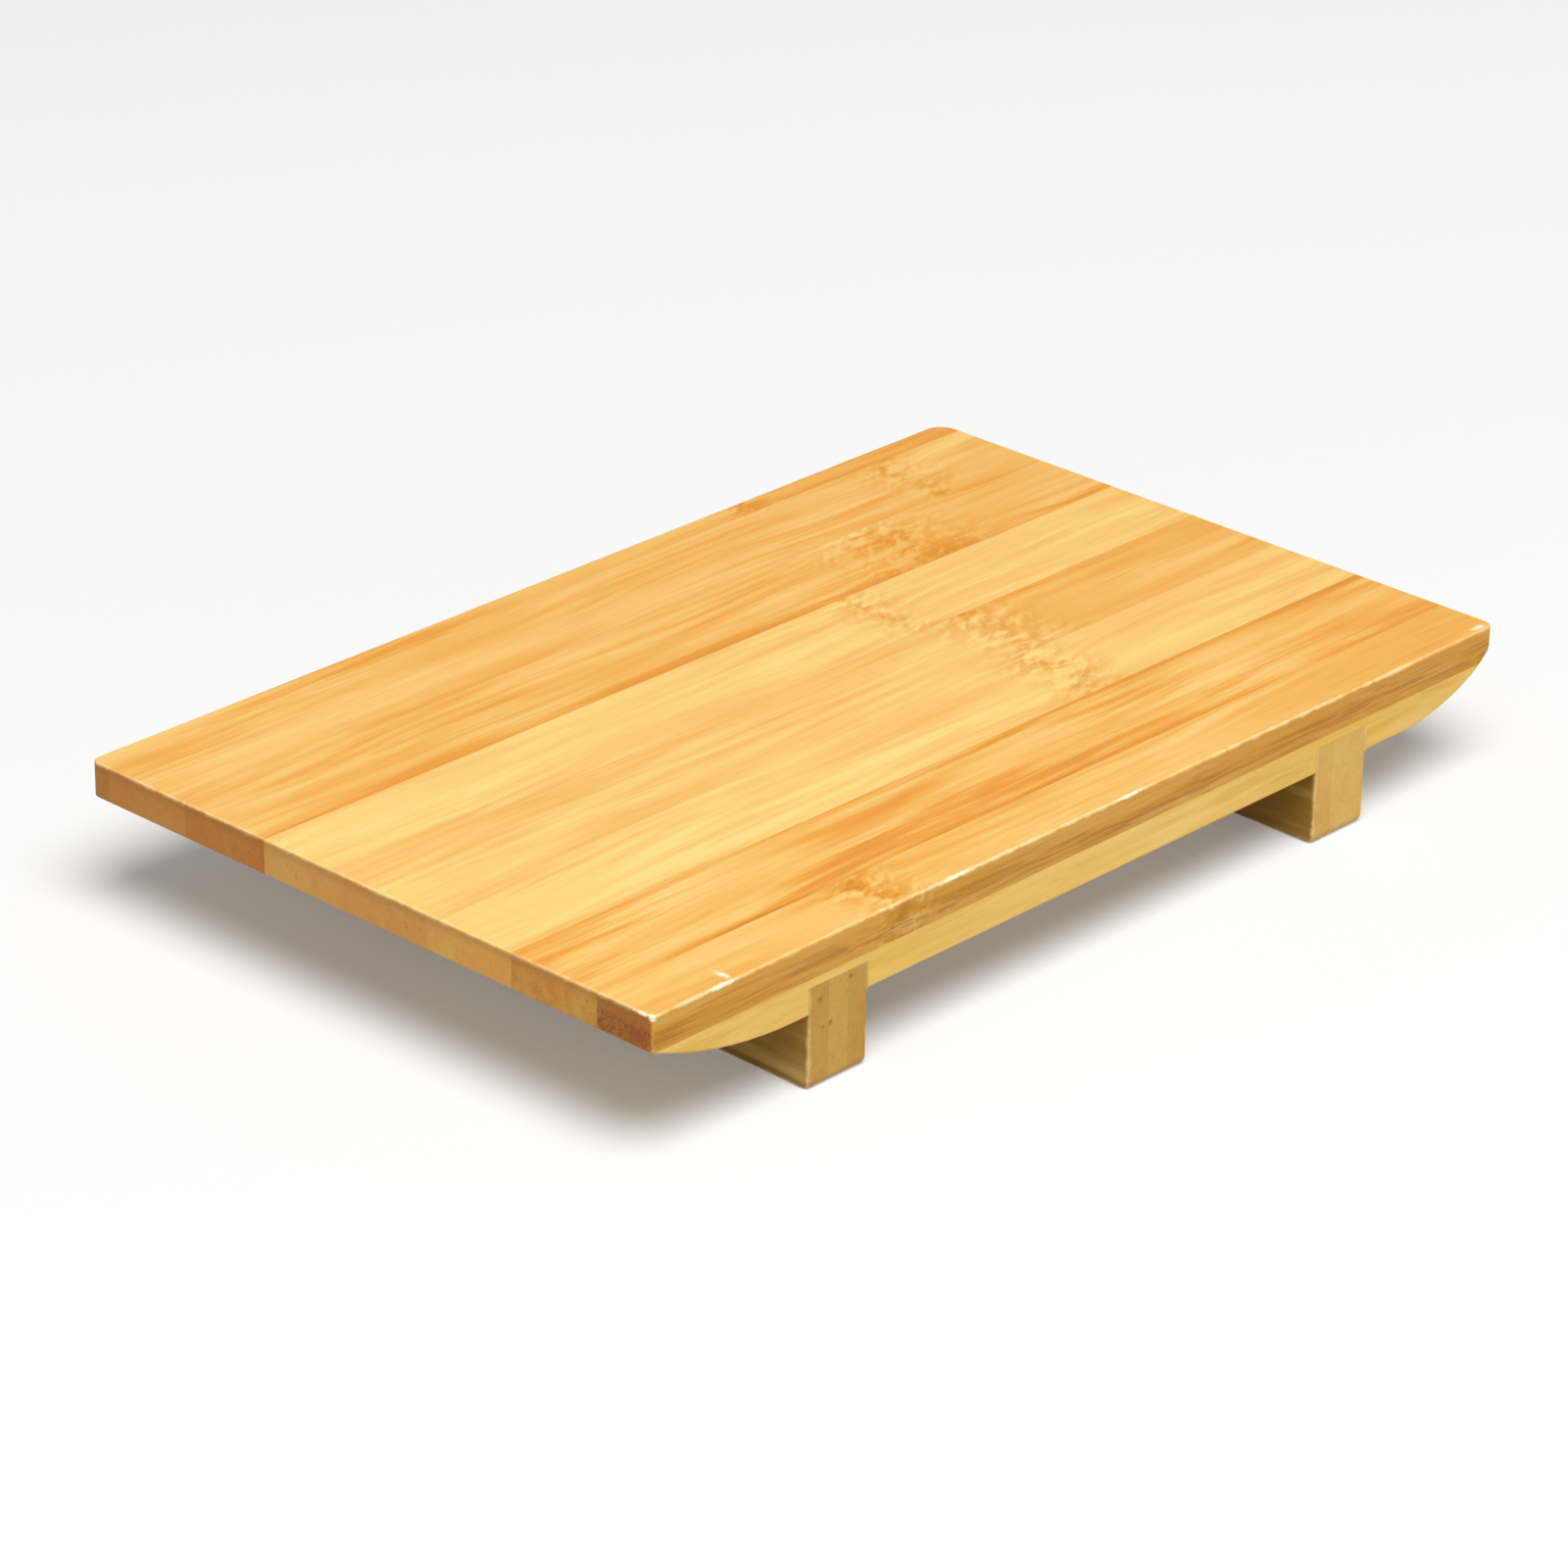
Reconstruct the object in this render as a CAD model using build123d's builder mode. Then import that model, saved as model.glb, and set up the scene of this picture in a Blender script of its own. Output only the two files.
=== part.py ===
from build123d import *

import os

# Sushi geta: a bamboo serving board of two glued plies that stands on two laminated legs.
# +X runs along the board, -Y faces the guest, +Z is up, and the origin is on the table under the middle.
# All sizes are in millimetres.

# Board
BOARD_LENGTH = 240.0
BOARD_WIDTH = 150.0
STANDING_HEIGHT = 30.0
PLY_THICKNESS = 7.3
TOP_ARRIS = 0.5
UNDERSIDE_ARRIS = 0.5

# Corners of the board in plan, sanded by hand, so that each has come out a little different
FRONT_LEFT_RADIUS = 1.2
FRONT_RIGHT_RADIUS = 2.6
BACK_LEFT_RADIUS = 2.5
BACK_RIGHT_RADIUS = 4.5

# Underside sweep: how far it runs in from each end, and the height of the end face that it leaves.
# At the right end it tightens into a rounder nose, of this length and height, below the end face.
LEFT_SWEEP_LENGTH = 36.0
LEFT_END_LIP = 7.2
RIGHT_SWEEP_LENGTH = 30.0
RIGHT_END_LIP = 3.2
NOSE_LENGTH = 8.8
NOSE_HEIGHT = 6.9

# Bamboo strips of the two plies, laid from the back edge towards the front
STRIP_WIDTH = 21.8
UPPER_BACK_STRIP = 5.6
LOWER_BACK_STRIP = 20.5
LEAST_STRIP = 2.0

# Legs, each a stack of upright laminations let into a housing across the underside
LEG_SET_IN = 40.2
LEG_LAYERS = ("outer", "core", "inner")
LAMINATION = 5.2
HOUSING_DEPTH = 5.6
HOUSING_CLEARANCE = 0.05
TOE_RADIUS = 1.8
LEG_ARRIS = 0.8

# Places that follow from those sizes
END_X = BOARD_LENGTH / 2
BACK_Y = BOARD_WIDTH / 2
UNDERSIDE_Z = STANDING_HEIGHT - 2 * PLY_THICKNESS
PLY_LINE_Z = STANDING_HEIGHT - PLY_THICKNESS
LEFT_SWEEP_START = (LEFT_SWEEP_LENGTH - END_X, UNDERSIDE_Z)
LEFT_SWEEP_END = (-END_X, STANDING_HEIGHT - LEFT_END_LIP)
RIGHT_SWEEP_START = (END_X - RIGHT_SWEEP_LENGTH, UNDERSIDE_Z)
RIGHT_SWEEP_END = (END_X, STANDING_HEIGHT - RIGHT_END_LIP)
NOSE_START = (END_X - NOSE_LENGTH, STANDING_HEIGHT - RIGHT_END_LIP - NOSE_HEIGHT)
LEG_WIDTH = LAMINATION * len(LEG_LAYERS)
LEG_OUTER_X = END_X - LEG_SET_IN
LEG_X = LEG_OUTER_X - LEG_WIDTH / 2
BASE_CENTRED = (Align.CENTER, Align.CENTER, Align.MIN)

os.makedirs("parts", exist_ok=True)


def strips_across(back_strip):
    """Back and front edge of every strip of a ply, whose rearmost strip has the given width."""
    edges = [BACK_Y]
    seam = BACK_Y - back_strip
    while seam > LEAST_STRIP - BACK_Y:
        edges.append(seam)
        seam -= STRIP_WIDTH
    edges.append(-BACK_Y)
    return zip(edges, edges[1:])


# Board as it comes off the bench, both plies shaped and grooved together
with BuildPart() as board:
    with BuildSketch(Plane.XZ) as side_profile:
        with BuildLine() as side_outline:
            Line(LEFT_SWEEP_START, RIGHT_SWEEP_START)
            right_sweep = TangentArc(RIGHT_SWEEP_START, NOSE_START, tangent=(1, 0))
            TangentArc(NOSE_START, RIGHT_SWEEP_END, tangent=right_sweep % 1)
            Polyline(
                RIGHT_SWEEP_END,
                (END_X, STANDING_HEIGHT),
                (-END_X, STANDING_HEIGHT),
                LEFT_SWEEP_END,
            )
            TangentArc(LEFT_SWEEP_START, LEFT_SWEEP_END, tangent=(-1, 0))
        make_face()
    extrude(amount=BACK_Y, both=True)
    front_corners, back_corners = board.edges().filter_by(Axis.Z).group_by(Axis.Y)
    front_left, front_right = front_corners.sort_by(Axis.X)
    back_left, back_right = back_corners.sort_by(Axis.X)
    fillet(front_left, FRONT_LEFT_RADIUS)
    fillet(front_right, FRONT_RIGHT_RADIUS)
    fillet(back_left, BACK_LEFT_RADIUS)
    fillet(back_right, BACK_RIGHT_RADIUS)
    fillet(board.faces().sort_by(Axis.Z)[-1].edges(), TOP_ARRIS)

    # The underside's rim: its long edges with the corners, and the lower edge of each end face
    facing_down = board.faces().filter_by(lambda face: face.normal_at().Z < -0.5)
    rim_edges = facing_down.edges().filter_by(Axis.Y, reverse=True)
    lip_edges = [face.edges().sort_by(Axis.Z)[0] for face in board.faces().filter_by(Axis.X)]
    fillet(rim_edges + lip_edges, UNDERSIDE_ARRIS)

    # Housings for the legs, open at both long edges
    with Locations((-LEG_X, 0, UNDERSIDE_Z), (LEG_X, 0, UNDERSIDE_Z)):
        Box(
            LEG_WIDTH + 2 * HOUSING_CLEARANCE,
            BOARD_WIDTH,
            HOUSING_DEPTH,
            align=BASE_CENTRED,
            mode=Mode.SUBTRACT,
        )

# Strips of both plies, numbered from the back edge
for ply, back_strip, floor_z in (
    ("upper", UPPER_BACK_STRIP, PLY_LINE_Z),
    ("lower", LOWER_BACK_STRIP, UNDERSIDE_Z),
):
    for number, (back_edge, front_edge) in enumerate(strips_across(back_strip), start=1):
        with BuildPart() as strip:
            add(board.part)
            with Locations((0, (back_edge + front_edge) / 2, floor_z)):
                Box(
                    BOARD_LENGTH,
                    back_edge - front_edge,
                    PLY_THICKNESS,
                    align=BASE_CENTRED,
                    mode=Mode.INTERSECT,
                )
        strip.part.label = f"{ply}_strip_{number}"
        export_step(strip.part, f"parts/{strip.part.label}.step")

# Legs: a bar with rounded toes and eased arrises, and square shoulders only inside the housing
for side, outward in (("left", -1), ("right", 1)):
    with BuildPart() as leg:
        with Locations((outward * LEG_X, 0, 0)):
            Box(LEG_WIDTH, BOARD_WIDTH, UNDERSIDE_Z, align=BASE_CENTRED)
        fillet(leg.edges().filter_by(Axis.X).group_by(Axis.Z)[0], TOE_RADIUS)
        for long_face in leg.faces().filter_by(Axis.X):
            fillet(long_face.edges().sort_by(Axis.Z)[:-1], LEG_ARRIS)
        with Locations((outward * LEG_X, 0, UNDERSIDE_Z)):
            Box(LEG_WIDTH, BOARD_WIDTH, HOUSING_DEPTH, align=BASE_CENTRED)

    for depth, layer in enumerate(LEG_LAYERS):
        layer_x = outward * (LEG_OUTER_X - (depth + 0.5) * LAMINATION)
        with BuildPart() as lamination:
            add(leg.part)
            with Locations((layer_x, 0, 0)):
                Box(
                    LAMINATION,
                    BOARD_WIDTH,
                    UNDERSIDE_Z + HOUSING_DEPTH,
                    align=BASE_CENTRED,
                    mode=Mode.INTERSECT,
                )
        lamination.part.label = f"{side}_leg_{layer}_lamination"
        export_step(lamination.part, f"parts/{lamination.part.label}.step")
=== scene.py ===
"""Looks of the sushi geta board: its bamboo strips and legs, a pale floor, soft light and the camera."""

import logging
import math
from dataclasses import dataclass, replace
from enum import Enum
from typing import ClassVar, Mapping, NamedTuple

import bpy
import numpy as np
from mathutils import Matrix, Vector


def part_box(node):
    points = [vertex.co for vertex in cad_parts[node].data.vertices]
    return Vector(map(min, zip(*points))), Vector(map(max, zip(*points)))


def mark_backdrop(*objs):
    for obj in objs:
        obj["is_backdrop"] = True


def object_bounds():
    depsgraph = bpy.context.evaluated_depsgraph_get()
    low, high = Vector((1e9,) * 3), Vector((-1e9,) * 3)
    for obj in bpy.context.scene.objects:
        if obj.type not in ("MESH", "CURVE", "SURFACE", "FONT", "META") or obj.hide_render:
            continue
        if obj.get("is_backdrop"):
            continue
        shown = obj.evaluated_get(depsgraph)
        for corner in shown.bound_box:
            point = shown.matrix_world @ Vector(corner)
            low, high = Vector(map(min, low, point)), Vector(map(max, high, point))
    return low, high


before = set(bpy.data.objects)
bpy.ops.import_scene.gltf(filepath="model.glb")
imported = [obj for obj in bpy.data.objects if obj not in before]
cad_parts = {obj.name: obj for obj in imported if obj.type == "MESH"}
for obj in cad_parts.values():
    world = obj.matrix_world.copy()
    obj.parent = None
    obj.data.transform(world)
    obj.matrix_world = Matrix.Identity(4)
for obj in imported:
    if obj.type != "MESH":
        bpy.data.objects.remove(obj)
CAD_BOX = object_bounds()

LOG = logging.getLogger("sushi_geta")
PER_METRE = 1000.0

Socket = bpy.types.NodeSocket
Plug = Socket | float | tuple[float, ...]
Triple = tuple[float, float, float]
Colour = tuple[float, float, float, float]

# The standard curve of a screen's colours: straight up to the knee, then a power
SCREEN_FULL = 255.0
SCREEN_KNEE = 0.04045
SCREEN_SLOPE = 12.92
SCREEN_OFFSET = 0.055
SCREEN_POWER = 2.4


def srgb(red: int, green: int, blue: int) -> Colour:
    """Turn a screen colour into the linear colour that shaders use.

    Args:
        red: Red from 0 to 255.
        green: Green from 0 to 255.
        blue: Blue from 0 to 255.

    Returns:
        The linear colour with full alpha.
    """
    parts = np.array((red, green, blue)) / SCREEN_FULL
    curved = ((parts + SCREEN_OFFSET) / (1.0 + SCREEN_OFFSET)) ** SCREEN_POWER
    linear = np.where(parts <= SCREEN_KNEE, parts / SCREEN_SLOPE, curved)
    return (*map(float, linear), 1.0)


WHITE = srgb(255, 255, 255)


class Noise(NamedTuple):
    """A kind of noise: cells per millimetre along each axis, finer layers, and how much each counts."""

    cells: Triple
    detail: float = 2.0
    roughness: float = 0.5


class Ramp(NamedTuple):
    """An eased change: its start and end, and its level at each. The start may lie above the end."""

    start: float
    end: float
    low: float = 0.0
    high: float = 1.0


@dataclass(frozen=True)
class Recipe:
    """A weighted sum: what each named mask adds, and the number that it is added to."""

    shares: Mapping[str, float]
    start: float = 0.0


class Graph:
    """A node tree that grows by one node per call; each call returns the socket that carries the result."""

    SPACING: ClassVar[float] = 190.0
    NOISE_MIDDLE: ClassVar[float] = 0.5
    SEED_STRIDE: ClassVar[Triple] = (97.3, 41.7, 23.9)
    RAMP_SOCKETS: ClassVar[tuple[str, ...]] = ("Value", "From Min", "From Max", "To Min", "To Max")

    # A Mix node has sockets for every kind of data; these are the ones for colours
    MIX_INPUTS: ClassVar[tuple[int, ...]] = (0, 6, 7)
    MIX_OUTPUT: ClassVar[int] = 2

    def __init__(self, tree: bpy.types.NodeTree) -> None:
        """Take the tree that the nodes go into."""
        self.tree = tree

    def node(self, kind: str, **settings: object) -> bpy.types.Node:
        """Add one node, to the right of the last.

        Args:
            kind: Type name of the node.
            **settings: Properties to set on it.

        Returns:
            The new node.
        """
        made = self.tree.nodes.new(kind)
        made.location = (self.SPACING * len(self.tree.nodes), 0.0)
        for name, value in settings.items():
            setattr(made, name, value)
        return made

    def feed(self, node: bpy.types.Node, values: Mapping[str | int, Plug]) -> bpy.types.Node:
        """Link other sockets into a node's inputs, or set the inputs' own values.

        Args:
            node: The node.
            values: What goes into each input, by its name or number.

        Returns:
            The same node.
        """
        for key, value in values.items():
            if isinstance(value, Socket):
                self.tree.links.new(value, node.inputs[key])
            else:
                node.inputs[key].default_value = value
        return node

    def math(self, operation: str, *values: Plug) -> Socket:
        """Work out one number from others.

        Args:
            operation: Name of the operation.
            *values: Its operands.

        Returns:
            The result.
        """
        made = self.node("ShaderNodeMath", operation=operation)
        return self.feed(made, dict(enumerate(values))).outputs["Value"]

    def product(self, first: Plug, *others: Plug) -> Socket:
        """Multiply numbers.

        Args:
            first: The first number.
            *others: What it is multiplied by, in turn.

        Returns:
            The product.
        """
        result = first
        for other in others:
            result = self.math("MULTIPLY", result, other)
        return result

    def total(self, *terms: tuple[Plug, Plug], start: Plug = 0.0) -> Socket:
        """Add up weighted numbers.

        Args:
            *terms: Pairs of a number and its weight.
            start: The number that they are added to.

        Returns:
            The sum.
        """
        result = start
        for value, weight in terms:
            result = self.math("MULTIPLY_ADD", value, weight, result)
        return result

    def mixture(self, recipe: Recipe, masks: Mapping[str, Socket]) -> Socket:
        """Add up masks by a recipe."""
        terms = ((masks[name], share) for name, share in recipe.shares.items())
        return self.total(*terms, start=recipe.start)

    def vector(self, operation: str, *values: Plug) -> Socket:
        """Work out one vector from others.

        Args:
            operation: Name of the operation.
            *values: Its operands.

        Returns:
            The result.
        """
        made = self.node("ShaderNodeVectorMath", operation=operation)
        return self.feed(made, dict(enumerate(values))).outputs["Vector"]

    def length(self, vector: Socket) -> Socket:
        """Measure a vector."""
        made = self.node("ShaderNodeVectorMath", operation="LENGTH")
        return self.feed(made, {0: vector}).outputs["Value"]

    def parts(self, vector: Socket) -> tuple[Socket, Socket, Socket]:
        """Split a vector into its three numbers."""
        return tuple(self.feed(self.node("ShaderNodeSeparateXYZ"), {"Vector": vector}).outputs)

    def join(self, x: Plug, y: Plug, z: Plug) -> Socket:
        """Make a vector of three numbers."""
        return self.feed(self.node("ShaderNodeCombineXYZ"), {"X": x, "Y": y, "Z": z}).outputs["Vector"]

    def turned(self, vector: Socket, angle: float, size: float = 1.0) -> Socket:
        """Turn a vector about the upright axis and scale it.

        Args:
            vector: The vector.
            angle: The turn, in radians.
            size: The scale.

        Returns:
            The turned vector.
        """
        made = self.node("ShaderNodeMapping", vector_type="POINT")
        values = {"Vector": vector, "Rotation": (0.0, 0.0, angle), "Scale": (size, size, size)}
        return self.feed(made, values).outputs["Vector"]

    def reseed(self, point: Socket, seed: Socket) -> Socket:
        """Move a point far along each axis, by a different way for each seed, so that its noise differs."""
        return self.vector("MULTIPLY_ADD", self.join(seed, seed, seed), self.SEED_STRIDE, point)

    def step(self, value: Plug, start: Plug, end: Plug, low: Plug = 0.0, high: Plug = 1.0) -> Socket:
        """Ease a number from one level to another between two places.

        Args:
            value: The number to read.
            start: Where the change starts; it may lie above end.
            end: Where the change ends.
            low: Level on the start's side.
            high: Level on the end's side.

        Returns:
            The eased level.
        """
        made = self.node("ShaderNodeMapRange", interpolation_type="SMOOTHSTEP", clamp=True)
        values = dict(zip(self.RAMP_SOCKETS, (value, start, end, low, high)))
        return self.feed(made, values).outputs["Result"]

    def noise(self, point: Socket, kind: Noise) -> Socket:
        """Read smooth noise at a point.

        Args:
            point: The point, in millimetres.
            kind: The kind of noise.

        Returns:
            Noise from 0 to 1 about a middle of a half.
        """
        values = {
            "Vector": self.vector("MULTIPLY", point, kind.cells),
            "Scale": 1.0,
            "Detail": kind.detail,
            "Roughness": kind.roughness,
        }
        return self.feed(self.node("ShaderNodeTexNoise"), values).outputs["Fac"]

    def sway(self, point: Socket, kind: Noise) -> Socket:
        """Read noise about zero."""
        return self.math("SUBTRACT", self.noise(point, kind), self.NOISE_MIDDLE)

    def layer(self, point: Socket, kind: Noise, levels: Ramp) -> Socket:
        """Read noise and ease it into levels."""
        return self.step(self.noise(point, kind), *levels)

    def blend(self, factor: Plug, first: Plug, second: Plug, mode: str = "MIX") -> Socket:
        """Mix two colours.

        Args:
            factor: Share of the second colour.
            first: First colour.
            second: Second colour.
            mode: Name of the way they mix.

        Returns:
            The mixed colour.
        """
        made = self.node("ShaderNodeMix", data_type="RGBA", blend_type=mode, clamp_factor=True)
        values = dict(zip(self.MIX_INPUTS, (factor, first, second)))
        return self.feed(made, values).outputs[self.MIX_OUTPUT]


class Kind(Enum):
    """What a socket of a shared effect carries."""

    NUMBER = "NodeSocketFloat"
    VECTOR = "NodeSocketVector"
    COLOUR = "NodeSocketColor"


@dataclass(frozen=True)
class Port:
    """One named socket of a shared effect."""

    name: str
    kind: Kind = Kind.NUMBER


class Effect:
    """A shared effect, kept as a shader node group that is built the first time it is placed."""

    NAME: ClassVar[str]
    INPUTS: ClassVar[tuple[Port, ...]]
    OUTPUTS: ClassVar[tuple[Port, ...]]

    @classmethod
    def wire(cls, graph: Graph, given: Mapping[str, Socket]) -> dict[str, Socket]:
        """Build the effect's nodes.

        Args:
            graph: The group's own tree.
            given: The group's inputs by name.

        Returns:
            What goes to each of the group's outputs, by name.
        """
        raise NotImplementedError

    @classmethod
    def group(cls) -> bpy.types.NodeTree:
        """Give the effect's node group, and build it the first time.

        Returns:
            The node group.
        """
        found = bpy.data.node_groups.get(cls.NAME)
        if found is not None:
            return found
        made = bpy.data.node_groups.new(cls.NAME, "ShaderNodeTree")
        for side, ports in (("INPUT", cls.INPUTS), ("OUTPUT", cls.OUTPUTS)):
            for port in ports:
                made.interface.new_socket(port.name, in_out=side, socket_type=port.kind.value)
        graph = Graph(made)
        results = cls.wire(graph, graph.node("NodeGroupInput").outputs)
        graph.feed(graph.node("NodeGroupOutput"), results)
        return made

    @classmethod
    def place(cls, graph: Graph, values: Mapping[str, Plug]) -> Mapping[str, Socket]:
        """Put the effect into another tree.

        Args:
            graph: The tree that uses the effect.
            values: What goes into its inputs, by name.

        Returns:
            Its outputs by name.
        """
        return graph.feed(graph.node("ShaderNodeGroup", node_tree=cls.group()), values).outputs

    @classmethod
    def share(cls, graph: Graph, given: Mapping[str, Socket]) -> Mapping[str, Socket]:
        """Put the effect into another effect, and take what it needs from inputs of the same names."""
        return cls.place(graph, {port.name: given[port.name] for port in cls.INPUTS})


class CulmKnuckle(Effect):
    """A knuckle of the bamboo stem: a wandering ridge across a strip, with flecked, swirling wood about it.

    Away is the distance from Knuckle X along the fibre in parts of Length, moved by noise so that the ridge
    wanders. Swirl is slow noise that pushes the fibres sideways near the ridge. Ridge is a narrow hump where
    Away is small, broken by gaps. Mottle mixes fine flecks on a slanted grid with longer strokes along the
    fibre, darker and paler by turns, and fades out about the ridge. The swirl stirs both.
    """

    NAME = "culm_knuckle"
    INPUTS = (Port("Point", Kind.VECTOR), Port("Seed"), Port("Knuckle X"), Port("Length"), Port("Strength"))
    OUTPUTS = (Port("Ridge"), Port("Mottle"), Port("Swirl", Kind.VECTOR))

    WANDER: ClassVar[Noise] = Noise((0.03, 0.13, 0.13), 3.0, 0.55)
    WANDER_REACH: ClassVar[float] = 2.2
    PUSH: ClassVar[Noise] = Noise((0.07, 0.10, 0.10))
    PUSH_REACH: ClassVar[float] = 8.0
    GAPS: ClassVar[Noise] = Noise((0.20, 0.48, 0.48), 3.0, 0.55)
    FLECKS: ClassVar[Noise] = Noise((0.24, 0.62, 0.62), 2.0, 0.55)
    STROKES: ClassVar[Noise] = Noise((0.10, 0.42, 0.42), 1.0)
    FLECK_SHARE: ClassVar[float] = 0.5
    SLANT: ClassVar[float] = math.radians(-38.0)

    HUMP: ClassVar[Ramp] = Ramp(0.55, 0.05)
    ABOUT: ClassVar[Ramp] = Ramp(2.0, 0.2)
    NEAR: ClassVar[Ramp] = Ramp(3.5, 0.4)
    GAP_LEVELS: ClassVar[Ramp] = Ramp(0.40, 0.62)
    MOTTLE_LEVELS: ClassVar[Ramp] = Ramp(0.40, 0.60, -0.45, 0.66)

    @classmethod
    def wire(cls, graph: Graph, given: Mapping[str, Socket]) -> dict[str, Socket]:
        """Build the ridge, the mottle and the swirl.

        Args:
            graph: The group's own tree.
            given: The group's inputs by name.

        Returns:
            What goes to each of the group's outputs, by name.
        """
        point = graph.reseed(given["Point"], given["Seed"])
        along = graph.parts(given["Point"])[0]
        distance = graph.math("SUBTRACT", along, given["Knuckle X"])
        parts = graph.math("DIVIDE", distance, given["Length"])
        away = graph.total((graph.sway(point, cls.WANDER), cls.WANDER_REACH), start=parts)
        beside = graph.math("ABSOLUTE", away)
        hump, about, near = (
            graph.product(graph.step(beside, *ramp), given["Strength"])
            for ramp in (cls.HUMP, cls.ABOUT, cls.NEAR)
        )
        sideways = graph.product(graph.sway(point, cls.PUSH), near, cls.PUSH_REACH)
        swirl = graph.join(0.0, sideways, 0.0)

        stirred = graph.vector("ADD", point, swirl)
        slanted = graph.turned(stirred, cls.SLANT)
        gaps = graph.layer(slanted, cls.GAPS, cls.GAP_LEVELS)
        mixed = graph.total(
            (graph.noise(slanted, cls.FLECKS), cls.FLECK_SHARE),
            (graph.noise(stirred, cls.STROKES), 1.0 - cls.FLECK_SHARE),
        )
        return {
            "Ridge": graph.product(hump, gaps),
            "Mottle": graph.product(graph.step(mixed, *cls.MOTTLE_LEVELS), about),
            "Swirl": swirl,
        }


class FibreGrain(Effect):
    """Fibres of the bamboo, long along the first axis and fine across the other two.

    Each layer is noise on a grid stretched along the fibre: wide bands of tone, streaks of a millimetre or
    two that come and go, dark fibre bundles above a level that Density lowers, and short pores. Slow noise
    bends the grid sideways, so that the grain waves. On a cut end the same solid pattern shows as dots.
    """

    NAME = "fibre_grain"
    INPUTS = (Port("Point", Kind.VECTOR), Port("Seed"), Port("Density"))
    OUTPUTS = (Port("Bands"), Port("Streaks"), Port("Fibres"), Port("Pores"))

    BEND: ClassVar[Noise] = Noise((0.012, 0.04, 0.04), 1.0)
    BEND_REACH: ClassVar[float] = 8.0
    BANDS: ClassVar[Noise] = Noise((0.014, 0.09, 0.08))
    BAND_LEVELS: ClassVar[Ramp] = Ramp(0.30, 0.70, -0.5, 0.5)
    STREAKS: ClassVar[Noise] = Noise((0.022, 0.44, 0.38), 3.0, 0.62)
    STREAK_LEVELS: ClassVar[Ramp] = Ramp(0.32, 0.70, -0.5, 0.5)
    BUSY: ClassVar[Noise] = Noise((0.018, 0.08, 0.08), 1.0)
    BUSY_LEVELS: ClassVar[Ramp] = Ramp(0.35, 0.65, 0.3, 1.2)
    BUNDLES: ClassVar[Noise] = Noise((0.035, 1.9, 1.7), 2.0, 0.6)
    BUNDLE_LEVEL: ClassVar[float] = 0.58
    BUNDLE_LEVEL_BY_DENSITY: ClassVar[float] = -0.14
    BUNDLE_EDGE: ClassVar[float] = 0.14
    PORES: ClassVar[Noise] = Noise((0.16, 3.2, 2.8), 1.0)
    PORE_LEVELS: ClassVar[Ramp] = Ramp(0.52, 0.75)

    @classmethod
    def wire(cls, graph: Graph, given: Mapping[str, Socket]) -> dict[str, Socket]:
        """Build the four layers.

        Args:
            graph: The group's own tree.
            given: The group's inputs by name.

        Returns:
            What goes to each of the group's outputs, by name.
        """
        straight = graph.reseed(given["Point"], given["Seed"])
        sideways = graph.product(graph.sway(straight, cls.BEND), cls.BEND_REACH)
        point = graph.vector("ADD", straight, graph.join(0.0, sideways, 0.0))
        streaks = graph.layer(point, cls.STREAKS, cls.STREAK_LEVELS)
        busy = graph.layer(straight, cls.BUSY, cls.BUSY_LEVELS)
        level = graph.total((given["Density"], cls.BUNDLE_LEVEL_BY_DENSITY), start=cls.BUNDLE_LEVEL)
        edge = graph.math("ADD", level, cls.BUNDLE_EDGE)
        return {
            "Bands": graph.layer(point, cls.BANDS, cls.BAND_LEVELS),
            "Streaks": graph.product(streaks, busy),
            "Fibres": graph.step(graph.noise(point, cls.BUNDLES), level, edge),
            "Pores": graph.layer(point, cls.PORES, cls.PORE_LEVELS),
        }


class SeamShade(Effect):
    """Darker grain along a strip's side edges, and the thin glue line where it meets its neighbour.

    Shade falls from each edge over a width that wanders along the strip. Line is a hair's width at the edge.
    """

    NAME = "seam_shade"
    INPUTS = (
        Port("Point", Kind.VECTOR),
        Port("Seed"),
        Port("Back Edge"),
        Port("Front Edge"),
        Port("Back Shade"),
        Port("Front Shade"),
    )
    OUTPUTS = (Port("Shade"), Port("Line"))

    WIDTH: ClassVar[Noise] = Noise((0.011, 0.30, 0.30), 3.0)
    WIDTH_LEVELS: ClassVar[Ramp] = Ramp(0.25, 0.75, 0.6, 5.4)
    LINE: ClassVar[Ramp] = Ramp(0.22, 0.04)

    @classmethod
    def wire(cls, graph: Graph, given: Mapping[str, Socket]) -> dict[str, Socket]:
        """Build the shade and the line from the gaps to the two edges.

        Args:
            graph: The group's own tree.
            given: The group's inputs by name.

        Returns:
            What goes to each of the group's outputs, by name.
        """
        point = graph.reseed(given["Point"], given["Seed"])
        width = graph.layer(point, cls.WIDTH, cls.WIDTH_LEVELS)
        across = graph.parts(given["Point"])[1]
        to_back = graph.math("SUBTRACT", given["Back Edge"], across)
        to_front = graph.math("SUBTRACT", across, given["Front Edge"])
        back = graph.product(graph.step(to_back, width, 0.0), given["Back Shade"])
        front = graph.product(graph.step(to_front, width, 0.0), given["Front Shade"])
        return {
            "Shade": graph.math("MAXIMUM", back, front),
            "Line": graph.step(graph.math("MINIMUM", to_back, to_front), *cls.LINE),
        }


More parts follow.
